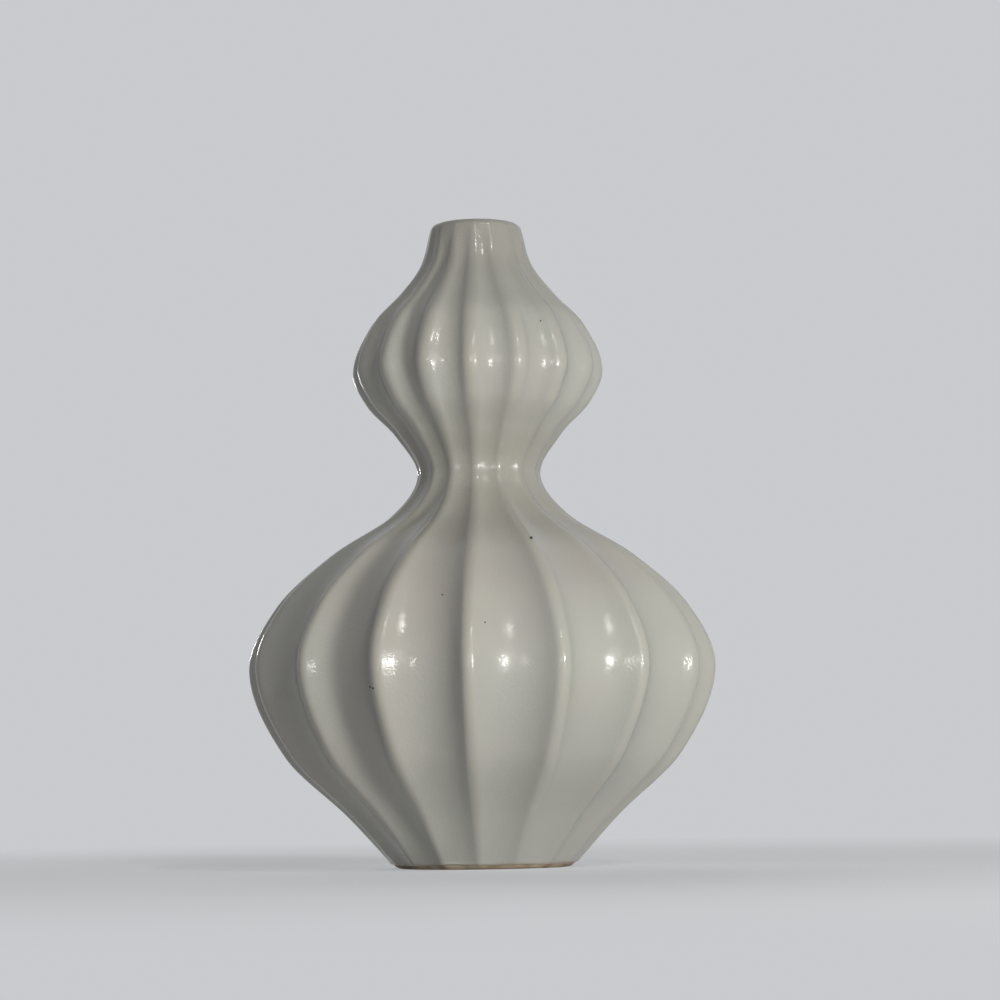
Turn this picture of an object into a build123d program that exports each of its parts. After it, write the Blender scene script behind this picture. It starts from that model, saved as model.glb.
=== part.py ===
from build123d import *
import math
import os
from typing import NamedTuple

# Gourd vase: a small fluted bud vase in white glazed stoneware.
# A wide lower bulb, a narrow waist, a small upper bulb and a short neck share one set of flutes,
# sixteen shallow hollows that meet in soft ridges and run unbroken from the foot to the lip.
# The clay is one piece, round inside and fluted outside, with a bare foot and a shallow recess
# underneath. A glossy coat covers its outside and the lip, and a liner coat seals its inside.
# All sizes are in millimetres. The origin is the centre of the foot, and +Z runs up the axis.

# Profile of the glazed outside, over the ridges
total_height = 125.0
foot_radius = 17.2
belly_radius = 45.25
waist_radius = 12.0
bulb_radius = 24.45
neck_radius = 10.9
lip_radius = 9.0
lip_round = 1.3
# How high the belly, waist, upper bulb and neck lie, as shares of the total height
belly_height_share = 0.3024
waist_height_share = 0.6064
bulb_height_share = 0.7704
neck_height_share = 0.936

# Flutes: how deep they lie below the ridges, and how round the ridges are
flute_count = 16
foot_flute_depth = 0.5
belly_flute_depth = 4.2
waist_flute_depth = 0.5
bulb_flute_depth = 1.9
neck_flute_depth = 0.5
lip_flute_depth = 0.1
foot_ridge_round = 1.5
belly_ridge_round = 1.9
waist_ridge_round = 1.6
bulb_ridge_round = 2.4
neck_ridge_round = 2.0
lip_ridge_round = 2.0
# Where the flutes have all but died out, on the rounded edges
faded_depth = 0.03

# Clay at the bottom of the flutes, and the coats of glaze
clay_wall = 2.7
coat = 0.3

# Mouth, foot and floor
throat_radius = 5.6
throat_length = 3.5
mouth_round = 0.8
glaze_line = 0.6
recess_radius = 13.0
recess_depth = 1.2
recess_round = 0.8
floor_thickness = 3.6
floor_corner_height = 1.6

# Levels between two driving levels: share of the way up, share of the change in size
foot_to_belly_shares = ((0.265, 0.328), (0.568, 0.753))
belly_to_waist_shares = ((0.333, 0.159), (0.589, 0.473), (0.795, 0.843))
waist_to_bulb_shares = ((0.381, 0.338), (0.668, 0.779))
bulb_to_neck_shares = ((0.431, 0.266), (0.717, 0.678))
# Places of the sections on a rounded edge, from its flat to the wall
edge_shares = (0.0, 0.25, 0.5, 0.75, 1.0)

# The most that two spans between sections rise, and bend in degrees. Spans in one smooth loft
paired_rise = 10.5
paired_bend = 20.0
spans_per_loft = 4
# Half the height over which the lean of the wall is taken
lean_reach = 0.05


class Level(NamedTuple):
    """One height on the vase: the radius over its ridges, and the shape of its flutes."""

    height: float
    radius: float
    depth: float
    ridge_round: float


class Skin(NamedTuple):
    """A fluted surface, and the flat faces that would close its two ends."""

    sides: list
    low_end: Face
    high_end: Face


def levels_between(low, high, shares):
    """Levels between two others. Radius, depth and ridge rounding change together."""
    levels = []
    for up, across in shares:
        levels.append(
            Level(
                low.height + (high.height - low.height) * up,
                low.radius + (high.radius - low.radius) * across,
                low.depth + (high.depth - low.depth) * across,
                low.ridge_round + (high.ridge_round - low.ridge_round) * across,
            )
        )
    return levels


def glazed_wall():
    """Levels of the glazed outside, from the foot to where the lip starts to round over."""
    belly_height = total_height * belly_height_share
    waist_height = total_height * waist_height_share
    bulb_height = total_height * bulb_height_share
    neck_height = total_height * neck_height_share
    foot = Level(0, foot_radius, foot_flute_depth, foot_ridge_round)
    belly = Level(belly_height, belly_radius, belly_flute_depth, belly_ridge_round)
    waist = Level(waist_height, waist_radius, waist_flute_depth, waist_ridge_round)
    bulb = Level(bulb_height, bulb_radius, bulb_flute_depth, bulb_ridge_round)
    neck = Level(neck_height, neck_radius, neck_flute_depth, neck_ridge_round)
    lip = Level(total_height - lip_round, lip_radius, lip_flute_depth, lip_ridge_round)
    return [
        foot,
        *levels_between(foot, belly, foot_to_belly_shares),
        belly,
        *levels_between(belly, waist, belly_to_waist_shares),
        waist,
        *levels_between(waist, bulb, waist_to_bulb_shares),
        bulb,
        *levels_between(bulb, neck, bulb_to_neck_shares),
        neck,
        lip,
    ]


def slope_at(levels, index):
    """Change of each size with height at a level, taken through its two neighbours."""
    before = levels[max(index - 1, 0)]
    after = levels[min(index + 1, len(levels) - 1)]
    rise = after.height - before.height
    return Level(*[(b - a) / rise for a, b in zip(before, after)])


def level_at(levels, height):
    """The level at any height, on a smooth curve through the given ones."""
    index = 0
    while index < len(levels) - 2 and levels[index + 1].height < height:
        index += 1
    low, high = levels[index], levels[index + 1]
    low_slope, high_slope = slope_at(levels, index), slope_at(levels, index + 1)
    span = high.height - low.height
    up = (height - low.height) / span
    down = 1 - up
    sizes = []
    for a, b, slope_a, slope_b in zip(low, high, low_slope, high_slope):
        from_low = down * down * (a * (1 + 2 * up) + slope_a * span * up)
        from_high = up * up * (b * (1 + 2 * down) - slope_b * span * down)
        sizes.append(from_low + from_high)
    return Level(*sizes)


def lean_at(levels, height):
    """Angle in degrees by which the wall leans out from the axis at any height."""
    above = level_at(levels, height + lean_reach)
    below = level_at(levels, height - lean_reach)
    return math.degrees(math.atan2(above.radius - below.radius, above.height - below.height))


def wall_between(levels, bottom, top):
    """Levels from one height to another, closer where the wall bends, in pairs of spans."""
    ends = [bottom, *[level.height for level in levels if bottom < level.height < top], top]
    heights = []
    for low, high in zip(ends, ends[1:]):
        bend = abs(lean_at(levels, high) - lean_at(levels, low))
        spans = 2 * math.ceil(max((high - low) / paired_rise, bend / paired_bend))
        heights += [low + (high - low) * span / spans for span in range(spans)]
    return [level_at(levels, height) for height in (*heights, top)]


def moved_in(levels, distance):
    """The levels moved inwards, square to the wall, by the thickness of a wall or coat."""
    moved = []
    for index, level in enumerate(levels):
        lean = slope_at(levels, index).radius
        length = math.hypot(1, lean)
        moved.append(
            level._replace(
                height=level.height + distance * lean / length,
                radius=level.radius - distance / length,
            )
        )
    return moved


def rounded_edge(wall, flat_height, wall_height):
    """Levels of a round between a flat end and the wall, which it meets tangentially."""
    meeting = level_at(wall, wall_height)
    rise = wall_height - flat_height
    lean = (level_at(wall, wall_height + rise).radius - meeting.radius) / abs(rise)
    turn = math.atan2(1, lean)
    edge_round = abs(rise) / (1 - math.cos(turn))
    levels = []
    for share in edge_shares:
        angle = turn * share
        levels.append(
            Level(
                flat_height + rise * (1 - math.cos(angle)) / (1 - math.cos(turn)),
                meeting.radius - edge_round * (math.sin(turn) - math.sin(angle)),
                faded_depth + (meeting.depth - faded_depth) * share,
                meeting.ridge_round,
            )
        )
    return levels


def on_circle(radius, angle, height):
    """A point at a radius, at an angle in radians around the axis."""
    return Vector(radius * math.cos(angle), radius * math.sin(angle), height)


def fluted_section(level):
    """Closed outline at one level: round ridges joined by flute arcs that are tangent to them."""
    half_pitch = math.pi / flute_count
    valley = level.radius - level.depth
    ridge_centre = level.radius - level.ridge_round
    flute_round = (
        level.ridge_round**2
        - ridge_centre**2
        - valley**2
        + 2 * ridge_centre * valley * math.cos(half_pitch)
    ) / (2 * (valley - level.ridge_round - ridge_centre * math.cos(half_pitch)))
    flute_centre = valley + flute_round
    reach = level.ridge_round / (level.ridge_round + flute_round)
    meeting_x = ridge_centre + (flute_centre * math.cos(half_pitch) - ridge_centre) * reach
    meeting_y = flute_centre * math.sin(half_pitch) * reach
    meeting_radius = math.hypot(meeting_x, meeting_y)
    meeting_angle = math.atan2(meeting_y, meeting_x)
    edges = []
    for turn in range(flute_count):
        ridge = 2 * half_pitch * turn - math.pi / 2
        flute = ridge + half_pitch
        start = on_circle(meeting_radius, ridge - meeting_angle, level.height)
        end = on_circle(meeting_radius, ridge + meeting_angle, level.height)
        following = on_circle(meeting_radius, flute + half_pitch - meeting_angle, level.height)
        edges.append(ThreePointArc(start, on_circle(level.radius, ridge, level.height), end))
        edges.append(ThreePointArc(end, on_circle(valley, flute, level.height), following))
    return Wire(edges)


def skin_of(lofts):
    """The sides of lofts that stand end to end, without the flat faces where they meet."""
    stacks = [loft.faces().sort_by(Axis.Z) for loft in lofts]
    sides = [face for stack in stacks for face in stack[1:-1]]
    return Skin(sides, stacks[0][0], stacks[-1][-1])


def smooth_skin(levels):
    """Fluted surface through sections at the given levels, in short smooth lofts."""
    sections = [fluted_section(level) for level in levels]
    lofts = []
    for first in range(0, len(sections) - 1, spans_per_loft):
        lofts.append(Solid.make_loft(sections[first : first + spans_per_loft + 1]))
    return skin_of(lofts)


def straight_skin(levels):
    """Fluted surface that runs straight from each section to the next, as for hidden clay."""
    return skin_of([Solid.make_loft([fluted_section(level) for level in levels], True)])


def flat_ring(outer, inner_radius):
    """Flat ring between the edge of an end face and a circle at the same height."""
    height = outer.center().Z
    circle = Wire.make_circle(inner_radius, Plane.XY.offset(height))
    return Face(outer.outer_wire(), [circle])


def turned(edges):
    """Faces of revolution of edges that are drawn in the plane of X and Z."""
    return [Face.revolve(edge, 360, Axis.Z) for edge in edges]


def arcs_through(levels):
    """An arc through each three levels in a row, drawn in the plane of X and Z."""
    points = [(level.radius, 0, level.height) for level in levels]
    return [ThreePointArc(*points[first : first + 3]) for first in range(0, len(points) - 1, 2)]


def quarter_round(centre_radius, centre_height, size):
    """Quarter round on the inner edge of the lip, about a centre inside the wall."""
    offset = size * math.sqrt(0.5)
    top = (centre_radius, 0, centre_height + size)
    middle = (centre_radius - offset, 0, centre_height + offset)
    return turned([ThreePointArc(top, middle, (centre_radius - size, 0, centre_height))])


def hollow_faces(liner):
    """Surface of the round hollow in the clay, or inside a liner of the given thickness."""
    valleys = [level._replace(radius=level.radius - level.depth) for level in glazed_wall()]
    wall = moved_in(valleys, coat + clay_wall + liner)
    throat = Level(throat_bottom, throat_radius + coat - liner, 0, 0)
    wall[-1] = throat
    floor = floor_thickness + liner
    corner = rounded_edge(wall, floor, floor + floor_corner_height)
    floor_line = Line((0, 0, floor), (corner[0].radius, 0, floor))
    side_lines = arcs_through(corner) + arcs_through(wall_between(wall, corner[-1].height, throat_bottom))
    throat_line = Line((throat.radius, 0, throat_bottom), (throat.radius, 0, mouth_height))
    return turned([floor_line, *side_lines, throat_line])


def closed(faces):
    """Solid that is bounded by the given faces."""
    return Solid(Shell(faces))


lip_height = total_height - lip_round
mouth_height = total_height - mouth_round
mouth_centre = throat_radius + mouth_round
throat_bottom = mouth_height - throat_length

# Outside of the glaze
glazed = glazed_wall()
glaze_side = smooth_skin(wall_between(glazed, glaze_line, lip_height))
glaze_lip = smooth_skin(rounded_edge(glazed, total_height, lip_height)[::-1])
glaze_mouth = quarter_round(mouth_centre, mouth_height, mouth_round)

# Outside of the clay: the bare foot, and the wall and lip under the glaze
clay = moved_in(glazed, coat)
clay_foot = smooth_skin(rounded_edge(clay, 0, glaze_line))
clay_side = straight_skin(wall_between(clay, glaze_line, lip_height))
clay_lip = smooth_skin(rounded_edge(clay, total_height - coat, lip_height)[::-1])
clay_top = flat_ring(clay_lip.high_end, mouth_centre)
clay_mouth = quarter_round(mouth_centre, mouth_height, mouth_round - coat)

# Recess under the foot
recess_line = FilletPolyline(
    (recess_radius, 0, 0), (recess_radius, 0, recess_depth), (0, 0, recess_depth), radius=recess_round
)

# Surfaces that the clay shares with each coat, and the ring where the two coats meet
clay_under_glaze = [*clay_side.sides, *clay_lip.sides, clay_top, *clay_mouth]
clay_under_liner = hollow_faces(0)
coat_joint = turned([Line((throat_radius, 0, mouth_height), (throat_radius + coat, 0, mouth_height))])

# Each piece is closed from the surfaces that bound it, so neighbours share theirs exactly
stoneware_body = closed(
    [
        flat_ring(clay_foot.low_end, recess_radius),
        *turned(recess_line.edges()),
        *clay_foot.sides,
        *clay_under_glaze,
        *clay_under_liner,
    ]
)
outer_glaze = closed(
    [
        Face(glaze_side.low_end.outer_wire(), [clay_side.low_end.outer_wire()]),
        *glaze_side.sides,
        *glaze_lip.sides,
        flat_ring(glaze_lip.high_end, mouth_centre),
        *glaze_mouth,
        *coat_joint,
        *clay_under_glaze,
    ]
)
inner_glaze = closed([*hollow_faces(coat), *coat_joint, *clay_under_liner])

os.makedirs("parts", exist_ok=True)
export_step(stoneware_body, "parts/stoneware_body.step")
export_step(outer_glaze, "parts/outer_glaze.step")
export_step(inner_glaze, "parts/inner_glaze.step")
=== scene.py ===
"""Gourd vase: its glaze coat as a fine mesh, the finishes of every piece, the studio and the camera.

Everything is in metres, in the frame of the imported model. The coat of glaze is drawn again with
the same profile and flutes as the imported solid, fine enough to show how glass runs: thinner on
the ridges, fuller in the flutes, with a soft rolled edge above the bare foot. The clay and the
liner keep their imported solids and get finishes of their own.
"""

import logging
import math
from dataclasses import dataclass
from enum import Enum

import bpy
import numpy as np
from mathutils import Matrix, Vector


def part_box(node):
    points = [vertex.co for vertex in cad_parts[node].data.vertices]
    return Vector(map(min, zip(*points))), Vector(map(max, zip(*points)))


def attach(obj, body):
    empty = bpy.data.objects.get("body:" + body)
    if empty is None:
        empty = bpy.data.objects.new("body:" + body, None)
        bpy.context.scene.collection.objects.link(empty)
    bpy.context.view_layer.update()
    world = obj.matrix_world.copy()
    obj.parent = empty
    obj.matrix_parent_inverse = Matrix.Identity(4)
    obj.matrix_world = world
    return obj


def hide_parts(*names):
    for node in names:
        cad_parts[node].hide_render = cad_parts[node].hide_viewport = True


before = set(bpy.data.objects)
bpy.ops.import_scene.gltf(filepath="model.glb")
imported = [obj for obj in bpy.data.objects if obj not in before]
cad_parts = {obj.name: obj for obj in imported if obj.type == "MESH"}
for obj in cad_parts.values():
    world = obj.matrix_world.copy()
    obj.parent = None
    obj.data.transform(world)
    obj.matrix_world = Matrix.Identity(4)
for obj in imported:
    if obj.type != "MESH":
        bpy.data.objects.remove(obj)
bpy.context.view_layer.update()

log = logging.getLogger("gourd_vase")

Colour = tuple[float, float, float]
Rings = list[np.ndarray]
Shares = tuple[tuple[float, float], ...]

MM = 0.001
CREST = "crest"
SMALLEST_DEPTH = 0.001 * MM


class Part(Enum):
    """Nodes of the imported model."""

    CLAY = "stoneware_body"
    COAT = "outer_glaze"
    LINER = "inner_glaze"


class Slot(Enum):
    """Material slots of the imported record."""

    CLAY = "bare_stoneware"
    COAT = "white_glaze"
    LINER = "liner_glaze"


class Effect(Enum):
    """Shader node groups that more than one finish uses."""

    CLOUDS = "tint_clouds"
    PEEL = "orange_peel"
    SPECKS = "fine_specks"


class Bench:
    """A node tree with short calls to add nodes and to join them."""

    def __init__(self, tree: bpy.types.NodeTree) -> None:
        """Takes over a tree and empties it.

        Args:
            tree: The node tree of a material, a world or a group.
        """
        self.tree = tree
        tree.nodes.clear()

    def add(self, kind: str, **settings: object) -> bpy.types.Node:
        """Adds a node.

        Args:
            kind: Blender's name of the node type.
            settings: Properties of the node, by name.

        Returns:
            The new node.
        """
        node = self.tree.nodes.new(kind)
        for name, value in settings.items():
            setattr(node, name, value)
        return node

    def plug(self, socket: bpy.types.NodeSocket, value: object) -> None:
        """Joins an output to an input, or gives the input a plain value.

        Args:
            socket: The input.
            value: An output socket, a number, a vector or a colour, which is made opaque.
        """
        if isinstance(value, bpy.types.NodeSocket):
            self.tree.links.new(value, socket)
        elif socket.type == "RGBA":
            socket.default_value = (*value, 1.0)
        else:
            socket.default_value = value

    def feed(self, node: bpy.types.Node, **inputs: object) -> bpy.types.Node:
        """Sets or joins inputs of a node. An underscore in a name stands for a space.

        Args:
            node: The node whose inputs are fed.
            inputs: For each input a value, or the output socket that feeds it.

        Returns:
            The same node.
        """
        for name, value in inputs.items():
            self.plug(node.inputs[name.replace("_", " ")], value)
        return node

    def feed_in_order(self, node: bpy.types.Node, *values: object) -> bpy.types.Node:
        """Sets or joins the first inputs of a node, for inputs that share one name.

        Args:
            node: The node whose inputs are fed.
            values: Values or output sockets, in the order of the inputs.

        Returns:
            The same node.
        """
        for socket, value in zip(node.inputs, values):
            self.plug(socket, value)
        return node

    def maths(self, operation: str, *values: object) -> bpy.types.NodeSocket:
        """Works out one number from others.

        Args:
            operation: Name of the Math node's operation.
            values: Numbers or output sockets, in the order of the node's inputs.

        Returns:
            The result's socket.
        """
        node = self.feed_in_order(self.add("ShaderNodeMath", operation=operation), *values)
        return node.outputs["Value"]

    def ramp(self, value: bpy.types.NodeSocket, start: float, end: float) -> bpy.types.NodeSocket:
        """Turns a value into a share that rises smoothly from 0 to 1.

        Args:
            value: The value's socket.
            start: Where the share is 0.
            end: Where the share is 1.

        Returns:
            The share's socket.
        """
        node = self.add("ShaderNodeMapRange", interpolation_type="SMOOTHSTEP")
        self.feed(node, Value=value, From_Min=start, From_Max=end)
        return node.outputs["Result"]

    def blend(self, share: object, first: object, second: object) -> bpy.types.NodeSocket:
        """Mixes two colours.

        Args:
            share: How much of the second colour, as a number or a socket.
            first: A colour or a socket.
            second: A colour or a socket.

        Returns:
            The mixed colour's socket.
        """
        node = self.add("ShaderNodeMix", data_type="RGBA")
        sockets = {socket.identifier: socket for socket in (*node.inputs, *node.outputs)}
        self.plug(sockets["Factor_Float"], share)
        self.plug(sockets["A_Color"], first)
        self.plug(sockets["B_Color"], second)
        return sockets["Result_Color"]

    def mixed(
        self, share: bpy.types.NodeSocket, first: bpy.types.Node, second: bpy.types.Node
    ) -> bpy.types.NodeSocket:
        """Mixes two shaders.

        Args:
            share: How much of the second shader.
            first: A shader's node.
            second: A shader's node.

        Returns:
            The mixed shader's socket.
        """
        mix = self.add("ShaderNodeMixShader")
        return self.feed_in_order(mix, share, first.outputs[0], second.outputs[0]).outputs["Shader"]

    def place(self) -> bpy.types.NodeSocket:
        """Gives the place of a point on the object, in metres."""
        return self.add("ShaderNodeTexCoord").outputs["Object"]

    def group(self, effect: Effect, **inputs: object) -> bpy.types.Node:
        """Places a shared node group with its own values.

        Args:
            effect: The shared effect.
            inputs: Values or sockets for its inputs.

        Returns:
            The group's node.
        """
        node = self.add("ShaderNodeGroup", node_tree=bpy.data.node_groups[effect.value])
        return self.feed(node, **inputs)


@dataclass(frozen=True)
class EffectGroups:
    """The shader node groups that the finishes share, and what stays the same in all of them."""

    cloud_detail: float = 2.5
    cloud_roughness: float = 0.45
    cloud_span: tuple[float, float] = (0.38, 0.64)
    peel_detail: float = 1.5
    peel_roughness: float = 0.5
    swell_detail: float = 1.0
    swell_roughness: float = 0.4

    def build(self) -> None:
        """Builds each group once."""
        self.clouds()
        self.peel()
        self.specks()

    def started(
        self, effect: Effect, inputs: dict[str, tuple[str, object]], outputs: dict[str, str]
    ) -> tuple[Bench, bpy.types.Node, bpy.types.Node]:
        """Makes an empty group with named sockets.

        Args:
            effect: Which group it is.
            inputs: For each input its kind of socket and its first value.
            outputs: For each output its kind of socket.

        Returns:
            The bench of the group, its input node and its output node.
        """
        tree = bpy.data.node_groups.new(effect.value, "ShaderNodeTree")
        for name, (kind, value) in inputs.items():
            socket = tree.interface.new_socket(name, in_out="INPUT", socket_type=kind)
            socket.default_value = value
        for name, kind in outputs.items():
            tree.interface.new_socket(name, in_out="OUTPUT", socket_type=kind)
        bench = Bench(tree)
        return bench, bench.add("NodeGroupInput"), bench.add("NodeGroupOutput")

    def clouds(self) -> None:
        """Soft drifting patches in which one colour passes into another."""
        bench, given, result = self.started(
            Effect.CLOUDS,
            {
                "Base": ("NodeSocketColor", (0.6, 0.6, 0.6, 1.0)),
                "Tint": ("NodeSocketColor", (0.6, 0.5, 0.4, 1.0)),
                "Amount": ("NodeSocketFloat", 0.5),
                "Scale": ("NodeSocketFloat", 30.0),
            },
            {"Color": "NodeSocketColor", "Share": "NodeSocketFloat"},
        )
        noise = bench.add("ShaderNodeTexNoise")
        bench.feed(noise, Vector=bench.place(), Scale=given.outputs["Scale"])
        bench.feed(noise, Detail=self.cloud_detail, Roughness=self.cloud_roughness)
        share = bench.ramp(noise.outputs["Fac"], *self.cloud_span)
        share = bench.maths("MULTIPLY", share, given.outputs["Amount"])
        colour = bench.blend(share, given.outputs["Base"], given.outputs["Tint"])
        bench.feed(result, Color=colour, Share=share)

    def peel(self) -> None:
        """The skin of melted glass: a fine orange peel on a slow swell, as a height."""
        bench, given, result = self.started(
            Effect.PEEL,
            {
                "Peel Scale": ("NodeSocketFloat", 1000.0),
                "Swell Scale": ("NodeSocketFloat", 120.0),
                "Swell": ("NodeSocketFloat", 1.0),
            },
            {"Height": "NodeSocketFloat"},
        )
        place = bench.place()
        peel = bench.add("ShaderNodeTexNoise")
        bench.feed(peel, Vector=place, Scale=given.outputs["Peel Scale"])
        bench.feed(peel, Detail=self.peel_detail, Roughness=self.peel_roughness)
        swell = bench.add("ShaderNodeTexNoise")
        bench.feed(swell, Vector=place, Scale=given.outputs["Swell Scale"])
        bench.feed(swell, Detail=self.swell_detail, Roughness=self.swell_roughness)
        slow = bench.maths("MULTIPLY", swell.outputs["Fac"], given.outputs["Swell"])
        bench.feed(result, Height=bench.maths("ADD", peel.outputs["Fac"], slow))

    def specks(self) -> None:
        """Small round spots, one in a few cells of a loose net, as a mask."""
        bench, given, result = self.started(
            Effect.SPECKS,
            {
                "Scale": ("NodeSocketFloat", 200.0),
                "Size": ("NodeSocketFloat", 0.1),
                "Share": ("NodeSocketFloat", 0.05),
            },
            {"Mask": "NodeSocketFloat"},
        )
        cells = bench.add("ShaderNodeTexVoronoi")
        bench.feed(cells, Vector=bench.place(), Scale=given.outputs["Scale"])
        inside = bench.maths("LESS_THAN", cells.outputs["Distance"], given.outputs["Size"])
        pick = bench.add("ShaderNodeSeparateColor")
        bench.feed(pick, Color=cells.outputs["Color"])
        chosen = bench.maths("LESS_THAN", pick.outputs["Red"], given.outputs["Share"])
        bench.feed(result, Mask=bench.maths("MULTIPLY", inside, chosen))


@dataclass(frozen=True)
class IronSpeck:
    """A dark iron spot in the glaze: where it sits, as seen from the front, and how wide it is.

    It is solid within one share of its width from its middle, and gone at the other.
    """

    across: float
    height: float
    width: float
    solid_share: float = 0.4
    gone_share: float = 0.6

    def mask(self, bench: Bench) -> bpy.types.NodeSocket:
        """Masks the spot, on the front of the vase alone.

        Args:
            bench: The material's nodes.

        Returns:
            The mask's socket.
        """
        place = bench.feed(bench.add("ShaderNodeSeparateXYZ"), Vector=bench.place()).outputs
        flat = bench.feed(bench.add("ShaderNodeCombineXYZ"), X=place["X"], Z=place["Z"])
        away = bench.add("ShaderNodeVectorMath", operation="DISTANCE")
        bench.feed_in_order(away, flat.outputs["Vector"], (self.across, 0.0, self.height))
        edges = (self.gone_share * self.width, self.solid_share * self.width)
        front = bench.maths("LESS_THAN", place["Y"], 0.0)
        return bench.maths("MULTIPLY", bench.ramp(away.outputs["Value"], *edges), front)


@dataclass(frozen=True)
class FineSpecks:
    """Fine spots strewn over a surface: how close, how wide, and in what share of the cells."""

    scale: float
    size: float
    share: float

    def mask(self, bench: Bench) -> bpy.types.NodeSocket:
        """Masks the spots.

        Args:
            bench: The material's nodes.

        Returns:
            The mask's socket.
        """
        spots = bench.group(Effect.SPECKS, Scale=self.scale, Size=self.size, Share=self.share)
        return spots.outputs["Mask"]


@dataclass(frozen=True)
class Relief:
    """The fine relief of a surface: small grains on a slow swell."""

    grain_scale: float
    swell_scale: float
    swell: float
    depth: float

    def normal(self, bench: Bench) -> bpy.types.NodeSocket:
        """Tilts the surface by the relief.

        Args:
            bench: The material's nodes.

        Returns:
            The normal's socket.
        """
        skin = bench.group(Effect.PEEL, Peel_Scale=self.grain_scale)
        bench.feed(skin, Swell_Scale=self.swell_scale, Swell=self.swell)
        bump = bench.add("ShaderNodeBump")
        bench.feed(bump, Strength=1.0, Distance=self.depth, Height=skin.outputs["Height"])
        return bump.outputs["Normal"]


@dataclass(frozen=True)
class Finish:
    """What all finishes share: a shader with its own colours, a drifting gloss and a relief."""

    name: str
    roughness: float
    roughness_spread: float
    roughness_scale: float
    relief: Relief
    refraction: float = 1.5

    def tinted(self, bench: Bench) -> bpy.types.NodeSocket:
        """Mixes the colours over the surface. Each finish has its own way.

        Args:
            bench: The material's nodes.

        Returns:
            The colour's socket.
        """
        raise NotImplementedError

    def gloss(self, bench: Bench) -> bpy.types.NodeSocket:
        """Varies the roughness a little over the surface.

        Args:
            bench: The material's nodes.

        Returns:
            The roughness socket.
        """
        haze = bench.group(Effect.CLOUDS, Amount=self.roughness_spread, Scale=self.roughness_scale)
        return bench.maths("ADD", haze.outputs["Share"], self.roughness)

    def material(self) -> bpy.types.Material:
        """Builds the material.

        Returns:
            The finished material.
        """
        material = bpy.data.materials.new(self.name)
        material.use_nodes = True
        bench = Bench(material.node_tree)
        shader = bench.add("ShaderNodeBsdfPrincipled")
        bench.feed(shader, Base_Color=self.tinted(bench), IOR=self.refraction)
        bench.feed(shader, Roughness=self.gloss(bench), Normal=self.relief.normal(bench))
        bench.feed(bench.add("ShaderNodeOutputMaterial"), Surface=shader.outputs["BSDF"])
        return material


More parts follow.
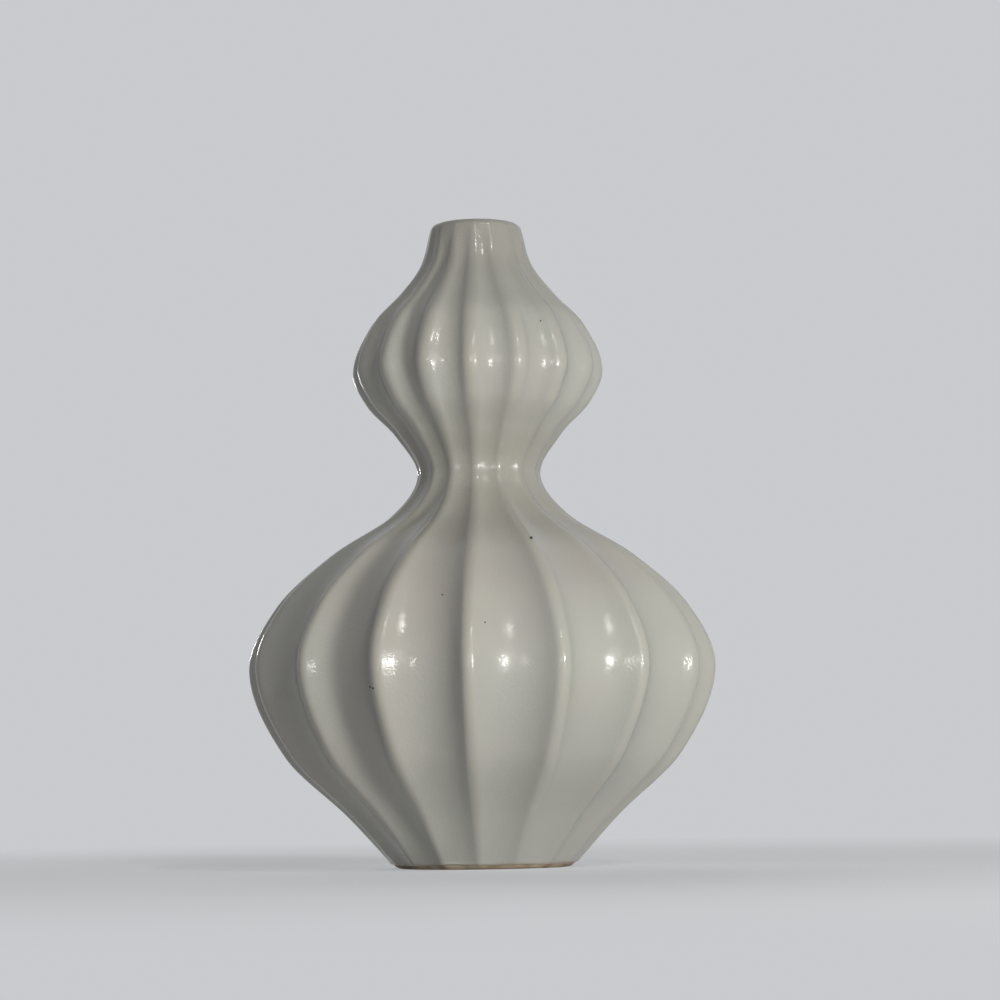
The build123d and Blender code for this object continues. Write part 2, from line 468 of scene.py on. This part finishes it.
@dataclass(frozen=True)
class GlazeFinish(Finish):
    """Glossy creamy white glass over clay.

    The glass is beige where it runs thin on the ridges, with a lighter painted highlight line along
    each ridge, cooler where it pools, and drifts a little between cream and a faint pink. The neck and
    the waist carry painted shade, a darker colour that stands for shade there. A few iron spots have come
    up through it.
    """

    roughness: float = 0.15
    roughness_spread: float = 0.10
    roughness_scale: float = 70.0
    relief: Relief = Relief(grain_scale=2100.0, swell_scale=260.0, swell=0.8, depth=0.042 * MM)
    cream: Colour = (0.590, 0.580, 0.525)
    pink: Colour = (0.575, 0.540, 0.495)
    pink_amount: float = 0.75
    pink_scale: float = 38.0
    pooled: Colour = (0.540, 0.553, 0.515)
    pooled_amount: float = 0.55
    pooled_scale: float = 24.0
    # Beige of thinner glass on the ridges, made lighter as a painted highlight line along every ridge.
    thin_glaze_and_highlight: Colour = (0.640, 0.600, 0.515)
    thin_glaze_and_highlight_amount: float = 0.40
    thin_glaze_and_highlight_span: tuple[float, float] = (0.80, 1.0)
    # Painted shade: a darker colour laid over the neck and the waist to darken them.
    neck_waist_shade_colour: Colour = (0.430, 0.415, 0.365)
    neck_waist_shade_amount: float = 0.75
    neck_span: tuple[float, float] = (102.0 * MM, 118.0 * MM)
    waist_low: tuple[float, float] = (58.0 * MM, 72.0 * MM)
    waist_high: tuple[float, float] = (90.0 * MM, 80.0 * MM)
    edge: Colour = (0.420, 0.335, 0.235)
    edge_span: tuple[float, float] = (1.5 * MM, 0.6 * MM)
    wear_scale: float = 150.0
    wear_spread: float = 0.6
    wear_least: float = 0.4
    iron: Colour = (0.030, 0.024, 0.020)
    fine_specks: FineSpecks = FineSpecks(scale=170.0, size=0.035, share=0.07)
    specks: tuple[IronSpeck, ...] = ()

    def tinted(self, bench: Bench) -> bpy.types.NodeSocket:
        """Mixes the colours of the glass over the surface.

        Args:
            bench: The material's nodes.

        Returns:
            The colour's socket.
        """
        patches = bench.group(Effect.CLOUDS, Base=self.cream, Tint=self.pink)
        bench.feed(patches, Amount=self.pink_amount, Scale=self.pink_scale)
        pools = bench.group(Effect.CLOUDS, Base=patches.outputs["Color"], Tint=self.pooled)
        bench.feed(pools, Amount=self.pooled_amount, Scale=self.pooled_scale)
        worn = bench.group(Effect.CLOUDS, Amount=1.0, Scale=self.wear_scale)
        patchy = bench.maths("MULTIPLY_ADD", worn.outputs["Share"], self.wear_spread, self.wear_least)
        crest = bench.add("ShaderNodeAttribute", attribute_name=CREST).outputs["Fac"]
        # The ridges get the beige of thinner glass, lightened as a painted highlight line.
        on_crest = bench.maths("MULTIPLY", bench.ramp(crest, *self.thin_glaze_and_highlight_span), self.thin_glaze_and_highlight_amount)
        colour = bench.blend(bench.maths("MULTIPLY", on_crest, patchy), pools.outputs["Color"], self.thin_glaze_and_highlight)
        place = bench.feed(bench.add("ShaderNodeSeparateXYZ"), Vector=bench.place())
        height = place.outputs["Z"]
        # Painted shade darkens the neck and the waist.
        neck_waist_shade = bench.maths("MULTIPLY", self.neck_waist_shade_mask(bench, height), self.neck_waist_shade_amount)
        colour = bench.blend(neck_waist_shade, colour, self.neck_waist_shade_colour)
        near_edge = bench.ramp(height, *self.edge_span)
        colour = bench.blend(bench.maths("MULTIPLY", near_edge, patchy), colour, self.edge)
        for specks in (self.fine_specks, *self.specks):
            colour = bench.blend(specks.mask(bench), colour, self.iron)
        return colour

    def neck_waist_shade_mask(self, bench: Bench, height: bpy.types.NodeSocket) -> bpy.types.NodeSocket:
        """Masks the neck and the waist, where a painted shade darkens the glaze.

        Args:
            bench: The material's nodes.
            height: The height above the foot.

        Returns:
            The mask's socket.
        """
        neck = bench.ramp(height, *self.neck_span)
        above, below = bench.ramp(height, *self.waist_low), bench.ramp(height, *self.waist_high)
        return bench.maths("MAXIMUM", neck, bench.maths("MULTIPLY", above, below))


@dataclass(frozen=True)
class ClayFinish(Finish):
    """Bare fired stoneware: buff, matt and slightly gritty, toasted in patches."""

    roughness: float = 0.72
    roughness_spread: float = 0.16
    roughness_scale: float = 600.0
    relief: Relief = Relief(grain_scale=2600.0, swell_scale=500.0, swell=1.5, depth=0.05 * MM)
    buff: Colour = (0.520, 0.440, 0.340)
    toasted: Colour = (0.330, 0.235, 0.150)
    toasted_amount: float = 0.8
    toasted_scale: float = 260.0
    grit: Colour = (0.120, 0.080, 0.050)
    grit_specks: FineSpecks = FineSpecks(scale=900.0, size=0.22, share=0.10)

    def tinted(self, bench: Bench) -> bpy.types.NodeSocket:
        """Mixes the colours of the clay over the surface.

        Args:
            bench: The material's nodes.

        Returns:
            The colour's socket.
        """
        body = bench.group(Effect.CLOUDS, Base=self.buff, Tint=self.toasted)
        bench.feed(body, Amount=self.toasted_amount, Scale=self.toasted_scale)
        return bench.blend(self.grit_specks.mask(bench), body.outputs["Color"], self.grit)


@dataclass(frozen=True)
class Level:
    """One height on the vase: the radius over its ridges, and the shape of its flutes."""

    height: float
    radius: float
    depth: float
    ridge_round: float

    def sizes(self) -> tuple[float, float, float, float]:
        """Gives the four sizes in a row."""
        return self.height, self.radius, self.depth, self.ridge_round

    def towards(self, other: "Level", up: float, across: float) -> "Level":
        """Gives a level on the way to another.

        Args:
            other: The level at the far end.
            up: Share of the way in height.
            across: Share of the change in the other sizes.

        Returns:
            The level between.
        """
        shares = (up, across, across, across)
        pairs = zip(self.sizes(), other.sizes(), shares)
        return Level(*[near + (far - near) * share for near, far, share in pairs])


@dataclass(frozen=True)
class Profile:
    """The outside of the glaze over its ridges, smooth through the levels that shape it.

    Between two main levels, each pair gives a share of the height and of the change in size.
    """

    total_height: float
    belly_radius: float
    foot_radius: float = 17.2 * MM
    belly_height: float = 37.8 * MM
    waist_radius: float = 12.0 * MM
    waist_height: float = 75.8 * MM
    bulb_radius: float = 24.45 * MM
    bulb_height: float = 96.3 * MM
    neck_radius: float = 10.9 * MM
    neck_height: float = 117.0 * MM
    lip_radius: float = 9.0 * MM
    lip_round: float = 1.3 * MM
    foot_to_belly: Shares = ((0.265, 0.328), (0.568, 0.753))
    belly_to_waist: Shares = ((0.333, 0.159), (0.589, 0.473), (0.795, 0.843))
    waist_to_bulb: Shares = ((0.381, 0.338), (0.668, 0.779))
    bulb_to_neck: Shares = ((0.431, 0.266), (0.717, 0.678))

    def levels(self) -> list[Level]:
        """Lists the levels from the foot to where the lip starts to round over.

        Returns:
            The levels, lowest first.
        """
        lip_height = self.total_height - self.lip_round
        foot = Level(0.0, self.foot_radius, depth=0.5 * MM, ridge_round=1.5 * MM)
        belly = Level(self.belly_height, self.belly_radius, depth=4.2 * MM, ridge_round=1.9 * MM)
        waist = Level(self.waist_height, self.waist_radius, depth=0.5 * MM, ridge_round=1.6 * MM)
        bulb = Level(self.bulb_height, self.bulb_radius, depth=1.9 * MM, ridge_round=2.4 * MM)
        neck = Level(self.neck_height, self.neck_radius, depth=0.5 * MM, ridge_round=2.0 * MM)
        lip = Level(lip_height, self.lip_radius, depth=0.1 * MM, ridge_round=2.0 * MM)
        spans = (
            (foot, belly, self.foot_to_belly),
            (belly, waist, self.belly_to_waist),
            (waist, bulb, self.waist_to_bulb),
            (bulb, neck, self.bulb_to_neck),
        )
        levels = []
        for low, high, shares in spans:
            levels.append(low)
            levels += [low.towards(high, up, across) for up, across in shares]
        return [*levels, neck, lip]

    @staticmethod
    def slope(levels: list[Level], index: int) -> np.ndarray:
        """Works out how fast the sizes change with height, through a level's two neighbours.

        Args:
            levels: The levels, lowest first.
            index: Which of them.

        Returns:
            The change of each size for each metre of height.
        """
        before = np.array(levels[max(index - 1, 0)].sizes())
        after = np.array(levels[min(index + 1, len(levels) - 1)].sizes())
        return (after - before) / (after[0] - before[0])

    @classmethod
    def at(cls, levels: list[Level], height: float) -> Level:
        """Finds the level at any height, on a smooth curve through the given ones.

        Args:
            levels: The levels, lowest first.
            height: Height above the foot.

        Returns:
            The level there.
        """
        index = 0
        while index < len(levels) - 2 and levels[index + 1].height < height:
            index += 1
        low, high = (np.array(level.sizes()) for level in levels[index : index + 2])
        span = high[0] - low[0]
        up = (height - low[0]) / span
        down = 1.0 - up
        from_low = down**2 * (low * (1.0 + 2.0 * up) + cls.slope(levels, index) * span * up)
        from_high = up**2 * (high * (1.0 + 2.0 * down) - cls.slope(levels, index + 1) * span * down)
        return Level(*(from_low + from_high))

    @classmethod
    def moved_in(cls, levels: list[Level], distance: float) -> list[Level]:
        """Moves levels inwards, square to the wall.

        Args:
            levels: The levels, lowest first.
            distance: How far.

        Returns:
            The moved levels.
        """
        moved = []
        for index, level in enumerate(levels):
            lean = cls.slope(levels, index)[1]
            length = math.hypot(1.0, lean)
            moved.append(
                Level(
                    level.height + distance * lean / length,
                    level.radius - distance / length,
                    level.depth,
                    level.ridge_round,
                )
            )
        return moved


@dataclass(frozen=True)
class Flutes:
    """The flutes round the vase: soft ridges, with a hollow between each two."""

    count: int = 16
    ridge_steps: int = 4
    hollow_steps: int = 8

    @property
    def half_pitch(self) -> float:
        """Gives the angle from a ridge to the middle of a flute."""
        return math.pi / self.count

    @property
    def columns(self) -> int:
        """Gives the number of points in one ring."""
        return 2 * self.count * (self.ridge_steps + self.hollow_steps)

    def half_flute(self, level: Level) -> tuple[np.ndarray, np.ndarray]:
        """Places the points from the crest of a ridge to the middle of a flute.

        Args:
            level: Where the ring is.

        Returns:
            The angle from the ridge and the radius of each point, both ends included.
        """
        valley = level.radius - level.depth
        ridge_centre = level.radius - level.ridge_round
        cosine = math.cos(self.half_pitch)
        reach = level.ridge_round**2 - ridge_centre**2 - valley**2 + 2.0 * ridge_centre * valley * cosine
        hollow_round = reach / (2.0 * (valley - level.ridge_round - ridge_centre * cosine))
        hollow_centre = valley + hollow_round
        share = level.ridge_round / (level.ridge_round + hollow_round)
        meeting_x = ridge_centre + (hollow_centre * cosine - ridge_centre) * share
        meeting_y = hollow_centre * math.sin(self.half_pitch) * share
        meeting = math.atan2(meeting_y, meeting_x)
        on_ridge = np.linspace(0.0, meeting, self.ridge_steps + 1)
        ridge = ridge_centre * np.cos(on_ridge)
        ridge += np.sqrt(level.ridge_round**2 - (ridge_centre * np.sin(on_ridge)) ** 2)
        in_hollow = np.linspace(meeting, self.half_pitch, self.hollow_steps + 1)[1:]
        turn = self.half_pitch - in_hollow
        far_side = -math.copysign(1.0, hollow_round)
        hollow = hollow_centre * np.cos(turn)
        hollow += far_side * np.sqrt(hollow_round**2 - (hollow_centre * np.sin(turn)) ** 2)
        return np.concatenate([on_ridge, in_hollow]), np.concatenate([ridge, hollow])

    def ring(self, level: Level) -> tuple[np.ndarray, np.ndarray, np.ndarray]:
        """Places the points of a whole ring. The first ridge faces -Y.

        Args:
            level: Where the ring is.

        Returns:
            The azimuth, the radius and the nearness to a ridge of each point.
        """
        angles, radii = self.half_flute(level)
        near = 1.0 - (level.radius - radii) / max(level.depth, SMALLEST_DEPTH)
        one_angle = np.concatenate([angles[:-1], 2.0 * self.half_pitch - angles[:0:-1]])
        one_radius = np.concatenate([radii[:-1], radii[:0:-1]])
        one_near = np.concatenate([near[:-1], near[:0:-1]])
        starts = 2.0 * self.half_pitch * np.arange(self.count) - math.pi / 2
        azimuths = (starts[:, None] + one_angle[None, :]).ravel()
        return azimuths, np.tile(one_radius, self.count), np.tile(one_near, self.count)


@dataclass(frozen=True)
class Ripple:
    """A slow wave round the vase, which may drift with the height.

    It has its share of the whole swing, so many waves a turn, a drift in radians for each
    metre of height, and a start in radians.
    """

    share: float
    waves: float
    start: float
    drift: float = 0.0

    def at(self, azimuths: np.ndarray, height: float) -> np.ndarray:
        """Gives the wave at each point of a ring.

        Args:
            azimuths: Angles round the axis.
            height: Height of the ring.

        Returns:
            The wave, at most its share.
        """
        return self.share * np.sin(self.waves * azimuths + self.drift * height + self.start)


@dataclass
class GlazeCoat:
    """The coat of glass over the outside and the lip, as one closed mesh."""

    profile: Profile
    flutes: Flutes
    coat: float = 0.3 * MM
    edge_height: float = 0.75 * MM
    edge_wave: float = 0.16 * MM
    row_height: float = 0.6 * MM
    back_row_height: float = 2.4 * MM
    lip_steps: int = 9
    mouth_steps: int = 7
    roll_steps: int = 6
    throat_radius: float = 5.6 * MM
    mouth_round: float = 0.8 * MM
    faded_depth: float = 0.03 * MM
    full_depth: float = 1.5 * MM
    thinning: float = 0.05 * MM
    thinning_power: int = 3
    swell: float = 0.025 * MM
    edge_ripples: tuple[Ripple, ...] = (
        Ripple(share=0.5, waves=3.0, start=0.7),
        Ripple(share=0.3, waves=7.0, start=2.1),
        Ripple(share=0.2, waves=16.0, start=0.4),
    )
    swell_ripples: tuple[Ripple, ...] = (
        Ripple(share=1.0, waves=5.0, start=0.0, drift=90.0),
        Ripple(share=1.0, waves=9.0, start=1.3, drift=-140.0),
        Ripple(share=0.6, waves=23.0, start=0.5, drift=260.0),
        Ripple(share=0.5, waves=31.0, start=2.0, drift=-410.0),
    )

    def build(self) -> bpy.types.Object:
        """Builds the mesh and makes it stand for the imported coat.

        Returns:
            The new piece.
        """
        outer = self.profile.levels()
        inner = Profile.moved_in(outer, self.coat)
        rings = self.roll(outer, inner)
        rings += self.wall(outer, self.row_height, front=True)
        rings += self.lip(outer, 0.0)
        rings += self.mouth(0.0)
        rings += self.mouth(self.coat)[::-1]
        rings += self.lip(inner, self.coat)[::-1]
        rings += self.wall(inner, self.back_row_height, front=False)[::-1]
        piece = self.skinned(rings)
        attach(piece, "root")
        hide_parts(Part.COAT.value)
        return piece

    @staticmethod
    def swing(ripples: tuple[Ripple, ...], azimuths: np.ndarray, height: float = 0.0) -> np.ndarray:
        """Adds up ripples and scales their sum to between -1 and 1.

        Args:
            ripples: The ripples.
            azimuths: Angles round the axis.
            height: Height of the ring.

        Returns:
            The swing at each point.
        """
        whole = sum(ripple.share for ripple in ripples)
        return sum(ripple.at(azimuths, height) for ripple in ripples) / whole

    def edge(self, azimuths: np.ndarray) -> np.ndarray:
        """Gives the height of the glaze's lower edge, which wanders a little round the foot.

        Args:
            azimuths: Angles round the axis.

        Returns:
            The height at each angle.
        """
        return self.edge_height + self.edge_wave * self.swing(self.edge_ripples, azimuths)

    def unevenness(self, azimuths: np.ndarray, height: float) -> np.ndarray:
        """Gives the slow swell of hand-poured glass.

        Args:
            azimuths: Angles round the axis.
            height: Height of the ring.

        Returns:
            How far each point stands in or out.
        """
        return self.swell * self.swing(self.swell_ripples, azimuths, height)

    def placed(
        self, azimuths: np.ndarray, radii: np.ndarray, heights: np.ndarray, near: np.ndarray
    ) -> np.ndarray:
        """Joins the coordinates of a ring and its nearness to the ridges.

        Args:
            azimuths: Angles round the axis.
            radii: Distances from the axis.
            heights: Heights above the foot.
            near: Nearness to a ridge, from 0 to 1.

        Returns:
            One row of four numbers for each point.
        """
        across = radii * np.cos(azimuths)
        along = radii * np.sin(azimuths)
        return np.column_stack([across, along, heights, near])

    def fluted(self, levels: list[Level], height: float, front: bool) -> np.ndarray:
        """Draws one ring of a wall.

        Args:
            levels: The wall's levels.
            height: Height of the ring.
            front: Whether the ring is on the seen side of the glass.

        Returns:
            The ring.
        """
        level = Profile.at(levels, height)
        azimuths, radii, near = self.flutes.ring(level)
        deep = min(1.0, level.depth / self.full_depth)
        if front:
            radii = radii - self.thinning * near**self.thinning_power * deep - self.swell
            radii = radii + self.unevenness(azimuths, height)
        return self.placed(azimuths, radii, np.full(radii.shape, height), near * deep)

    def wall(self, levels: list[Level], step: float, front: bool) -> Rings:
        """Draws the rings of a wall, from just above the glaze's edge to the lip.

        Args:
            levels: The wall's levels.
            step: Height from ring to ring.
            front: Whether the wall is the seen side of the glass.

        Returns:
            The rings, lowest first.
        """
        bottom = self.edge_height + self.edge_wave + self.coat
        top = self.profile.total_height - self.profile.lip_round
        count = math.ceil((top - bottom) / step)
        heights = np.linspace(bottom, top, count + 1)
        return [self.fluted(levels, height, front) for height in heights]

    def roll(self, outer: list[Level], inner: list[Level]) -> Rings:
        """Draws the soft lower edge, which rolls from the clay out to the wall.

        Args:
            outer: Levels of the seen side.
            inner: Levels of the side on the clay.

        Returns:
            The rings, from the clay outwards.
        """
        azimuths, seen_radii, near = self.flutes.ring(Profile.at(outer, self.edge_height))
        clay_radii = self.flutes.ring(Profile.at(inner, self.edge_height))[1]
        rings = []
        for step in range(self.roll_steps):
            turn = math.pi / 2 * (step + 0.5) / self.roll_steps
            heights = self.edge(azimuths) + self.coat * (1.0 - math.cos(turn))
            lean = Profile.slope(outer, 0)[1] * (heights - self.edge_height)
            radii = clay_radii + (seen_radii - clay_radii) * math.sin(turn) + lean
            rings.append(self.placed(azimuths, radii, heights, near))
        return rings

    def lip(self, levels: list[Level], depth: float) -> Rings:
        """Draws the outer round of the lip.

        Args:
            levels: The wall's levels.
            depth: How deep under the seen side the surface lies.

        Returns:
            The rings, from the wall to the top.
        """
        start = self.profile.total_height - self.profile.lip_round
        meeting = Profile.at(levels, start)
        rise = self.profile.lip_round - depth
        lean = Profile.at(levels, start - rise).radius - meeting.radius
        turn = math.atan2(rise, lean)
        lip_round = rise / (1.0 - math.cos(turn))
        rings = []
        for step in range(1, self.lip_steps + 1):
            angle = turn * (1.0 - step / self.lip_steps)
            share = 1.0 - step / self.lip_steps
            level = Level(
                start + rise - lip_round * (1.0 - math.cos(angle)),
                meeting.radius - lip_round * (math.sin(turn) - math.sin(angle)),
                self.faded_depth + (meeting.depth - self.faded_depth) * share,
                meeting.ridge_round,
            )
            azimuths, radii, near = self.flutes.ring(level)
            heights = np.full(radii.shape, level.height)
            rings.append(self.placed(azimuths, radii, heights, 0.0 * near))
        return rings

    def mouth(self, depth: float) -> Rings:
        """Draws the inner round of the mouth, down to where the liner starts.

        Args:
            depth: How deep under the seen side the surface lies.

        Returns:
            The rings, from the top of the lip into the throat.
        """
        centre_radius = self.throat_radius + self.mouth_round
        centre_height = self.profile.total_height - self.mouth_round
        size = self.mouth_round - depth
        azimuths = self.flutes.ring(self.profile.levels()[-1])[0]
        rings = []
        for step in range(self.mouth_steps + 1):
            angle = math.pi / 2 * step / self.mouth_steps
            radii = np.full(azimuths.shape, centre_radius - size * math.sin(angle))
            heights = np.full(azimuths.shape, centre_height + size * math.cos(angle))
            rings.append(self.placed(azimuths, radii, heights, np.zeros(azimuths.shape)))
        return rings

    def skinned(self, rings: Rings) -> bpy.types.Object:
        """Joins rings into one closed mesh, the last ring to the first.

        Args:
            rings: The rings in order.

        Returns:
            The mesh object.
        """
        rows, columns = len(rings), self.flutes.columns
        points = np.vstack(rings)
        row, column = np.meshgrid(np.arange(rows), np.arange(columns), indexing="ij")
        next_row = (row + 1) % rows
        next_column = (column + 1) % columns
        corners = (
            (row, column),
            (row, next_column),
            (next_row, next_column),
            (next_row, column),
        )
        faces = np.stack([r * columns + c for r, c in corners], axis=-1).reshape(-1, 4)
        mesh = bpy.data.meshes.new("glaze_coat")
        mesh.from_pydata(points[:, :3].tolist(), [], faces.tolist())
        mesh.polygons.foreach_set("use_smooth", np.ones(len(faces), bool))
        crest = mesh.attributes.new(CREST, "FLOAT", "POINT")
        crest.data.foreach_set("value", points[:, 3].astype(np.float32))
        places = (column, row, column + 1, row, column + 1, row + 1, column, row + 1)
        unwrapped = np.stack(places, axis=-1).reshape(-1, 2) / np.array([columns, rows])
        layer = mesh.uv_layers.new(name="round_and_up")
        layer.data.foreach_set("uv", unwrapped.ravel().astype(np.float32))
        mesh.update()
        piece = bpy.data.objects.new("glaze_coat", mesh)
        bpy.context.scene.collection.objects.link(piece)
        return piece


@dataclass
class Vase:
    """The whole vase: the new coat, and the imported clay and liner with their finishes."""

    profile: Profile
    flutes: Flutes
    liner_roughness: float = 0.16
    specks: tuple[IronSpeck, ...] = (
        IronSpeck(across=-18.2 * MM, height=33.8 * MM, width=0.45 * MM),
        IronSpeck(across=-17.6 * MM, height=33.5 * MM, width=0.40 * MM),
        IronSpeck(across=10.9 * MM, height=61.5 * MM, width=0.60 * MM),
        IronSpeck(across=-5.1 * MM, height=50.5 * MM, width=0.30 * MM),
        IronSpeck(across=2.9 * MM, height=45.1 * MM, width=0.28 * MM),
        IronSpeck(across=13.0 * MM, height=103.5 * MM, width=0.30 * MM),
    )

    def build(self) -> list[bpy.types.Object]:
        """Builds the coat and dresses all three pieces.

        Returns:
            The seen pieces.
        """
        coat = GlazeCoat(self.profile, self.flutes).build()
        self.dress(coat, GlazeFinish(Slot.COAT.value, specks=self.specks).material())
        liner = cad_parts[Part.LINER.value]
        self.dress(liner, GlazeFinish(Slot.LINER.value, self.liner_roughness).material())
        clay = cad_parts[Part.CLAY.value]
        self.dress(clay, ClayFinish(Slot.CLAY.value).material())
        return [coat, liner, clay]

    @staticmethod
    def dress(piece: bpy.types.Object, material: bpy.types.Material) -> None:
        """Gives a piece one material.

        Args:
            piece: The piece.
            material: Its finish.
        """
        if not piece.material_slots:
            piece.data.materials.append(material)
        for slot in piece.material_slots:
            slot.material = material


@dataclass(frozen=True)
class Lamp:
    """A round soft lamp, placed by its direction from the middle of the vase.

    Its direction is in degrees and its power in watts. A fill lamp is left out of reflections, so
    it lifts a dark side and gives it no sheen.
    """

    name: str
    azimuth: float
    elevation: float
    distance: float
    size: float
    power: float
    colour: Colour
    fill: bool = False

    def build(self, target: Vector) -> bpy.types.Object:
        """Places the lamp and aims it.

        Args:
            target: The point it is aimed at.

        Returns:
            The lamp.
        """
        turn, lift = math.radians(self.azimuth), math.radians(self.elevation)
        level = math.cos(lift)
        away = Vector((math.sin(turn) * level, -math.cos(turn) * level, math.sin(lift)))
        light = bpy.data.lights.new(self.name, "AREA")
        light.shape = "DISK"
        light.size = self.size
        light.energy = self.power
        light.color = self.colour
        lamp = bpy.data.objects.new(self.name, light)
        lamp.location = target + away * self.distance
        lamp.rotation_mode = "QUATERNION"
        lamp.rotation_quaternion = away.to_track_quat("Z", "Y")
        lamp.visible_camera = False
        lamp.visible_glossy = not self.fill
        bpy.context.scene.collection.objects.link(lamp)
        return lamp


@dataclass
class Studio:
    """A pale floor that runs out into a pale backdrop, soft light and small lamps.

    The floor passes into the backdrop between two distances from the vase's axis.
    """

    backdrop: Colour = (0.585, 0.595, 0.615)
    ambient: Colour = (0.080, 0.081, 0.082)
    floor_colour: Colour = (0.58, 0.59, 0.61)
    floor_lift: float = 0.50
    floor_radius: float = 6.0
    plain_from: float = 0.04
    plain_at: float = 0.32
    lamps: tuple[Lamp, ...] = (
        Lamp(
            "level_lamp", azimuth=0.0, elevation=-1.0, distance=1.1, size=0.05, power=0.8,
            colour=(1.0, 0.985, 0.96),
        ),
        Lamp(
            "high_lamp", azimuth=31.0, elevation=42.0, distance=1.1, size=0.10, power=1.3,
            colour=(1.0, 0.99, 0.945),
        ),
        Lamp(
            "wide_lamp", azimuth=28.0, elevation=4.0, distance=1.1, size=0.60, power=1.6,
            colour=(1.0, 0.99, 0.95),
        ),
        Lamp(
            "side_lamp", azimuth=37.0, elevation=-3.0, distance=0.38, size=0.055, power=0.52,
            colour=(1.0, 0.995, 0.95),
        ),
        Lamp(
            "back_lamp", azimuth=195.0, elevation=14.0, distance=1.4, size=1.20, power=9.5,
            colour=(1.0, 0.99, 0.98), fill=True,
        ),
        Lamp(
            "back_glint_lamp", azimuth=200.0, elevation=5.0, distance=1.1, size=0.07, power=0.6,
            colour=(1.0, 0.99, 0.98),
        ),
    )

    def build(self, target: Vector) -> None:
        """Builds the floor, the world and the lamps.

        Args:
            target: The point that the lamps are aimed at.
        """
        self.world()
        self.floor()
        for lamp in self.lamps:
            lamp.build(target)

    def seen(self, bench: Bench) -> bpy.types.NodeSocket:
        """Masks the rays that look at the backdrop, straight or in a reflection.

        Args:
            bench: The nodes of the world or the floor.

        Returns:
            The mask's socket.
        """
        rays = bench.add("ShaderNodeLightPath").outputs
        through = bench.maths("MAXIMUM", rays["Is Camera Ray"], rays["Is Transmission Ray"])
        return bench.maths("MAXIMUM", through, rays["Is Glossy Ray"])

    def world(self) -> None:
        """Builds the world: even soft light, and a plain pale backdrop where it is seen."""
        world = bpy.data.worlds.new("studio")
        world.use_nodes = True
        bench = Bench(world.node_tree)
        light = bench.feed(bench.add("ShaderNodeBackground"), Color=self.ambient)
        back = bench.feed(bench.add("ShaderNodeBackground"), Color=self.backdrop)
        output = bench.add("ShaderNodeOutputWorld")
        bench.feed(output, Surface=bench.mixed(self.seen(bench), light, back))
        bpy.context.scene.world = world

    def floor_material(self) -> bpy.types.Material:
        """Builds the floor's paper, lifted where it is seen, which fades into the backdrop.

        Returns:
            The finished material.
        """
        material = bpy.data.materials.new("pale_floor")
        material.use_nodes = True
        bench = Bench(material.node_tree)
        paper = bench.feed(bench.add("ShaderNodeBsdfDiffuse"), Color=self.floor_colour)
        plain = bench.feed(bench.add("ShaderNodeEmission"), Color=self.backdrop)
        lift = bench.maths("MULTIPLY", self.seen(bench), self.floor_lift)
        glow = bench.feed(bench.add("ShaderNodeEmission"), Color=self.backdrop, Strength=lift)
        near = bench.add("ShaderNodeAddShader")
        bench.feed_in_order(near, paper.outputs[0], glow.outputs[0])
        away = bench.add("ShaderNodeVectorMath", operation="LENGTH")
        bench.feed_in_order(away, bench.place())
        far = bench.ramp(away.outputs["Value"], self.plain_from, self.plain_at)
        share = bench.maths("MULTIPLY", far, self.seen(bench))
        output = bench.add("ShaderNodeOutputMaterial")
        bench.feed(output, Surface=bench.mixed(share, near, plain))
        return material

    def floor(self) -> bpy.types.Object:
        """Builds the floor, which takes the vase's shadow.

        Returns:
            The floor.
        """
        reach = self.floor_radius
        mesh = bpy.data.meshes.new("floor")
        corners = [(-reach, -reach, 0.0), (reach, -reach, 0.0), (reach, reach, 0.0), (-reach, reach, 0.0)]
        mesh.from_pydata(corners, [], [(0, 1, 2, 3)])
        mesh.materials.append(self.floor_material())
        floor = bpy.data.objects.new("floor", mesh)
        bpy.context.scene.collection.objects.link(floor)
        return floor


@dataclass(frozen=True)
class PhotoCamera:
    """The camera, from where the photograph was taken.

    Angles are in degrees, the distance and the height in metres, the lens and the sensor in
    millimetres.
    """

    azimuth: float = 3.0
    distance: float = 0.617
    height: float = 0.016
    pitch: float = 5.085
    aim_right: float = 0.375
    roll: float = 0.83
    focal_length: float = 114.7
    sensor_width: float = 36.0

    def build(self) -> bpy.types.Object:
        """Places the camera and makes it the scene's own.

        Returns:
            The camera.
        """
        turn = math.radians(self.azimuth)
        aim = math.radians(self.azimuth - self.aim_right)
        lift = math.radians(self.pitch)
        view = Vector((-math.sin(aim) * math.cos(lift), math.cos(aim) * math.cos(lift), math.sin(lift)))
        data = bpy.data.cameras.new("photo_camera")
        data.sensor_width = self.sensor_width
        data.lens = self.focal_length
        camera = bpy.data.objects.new("photo_camera", data)
        place = Vector((math.sin(turn), -math.cos(turn), 0.0)) * self.distance
        place.z = self.height
        level = view.to_track_quat("-Z", "Y").to_matrix().to_4x4()
        tilt = Matrix.Rotation(-math.radians(self.roll), 4, "Z")
        camera.matrix_world = Matrix.Translation(place) @ level @ tilt
        bpy.context.scene.collection.objects.link(camera)
        bpy.context.scene.camera = camera
        return camera


def main() -> None:
    """Builds the camera, the vase and the studio, and reports each piece."""
    logging.basicConfig(level=logging.INFO, format="%(name)s: %(message)s")
    bpy.context.scene.view_settings.view_transform = "Standard"
    PhotoCamera().build()
    EffectGroups().build()
    low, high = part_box(Part.COAT.value)
    profile = Profile(total_height=high.z, belly_radius=high.y)
    for piece in Vase(profile, Flutes()).build():
        log.info("%s: %d faces", piece.name, len(piece.data.polygons))
    Studio().build(target=Vector((0.0, 0.0, 0.5 * profile.total_height)))


if __name__ == "__main__":
    main()
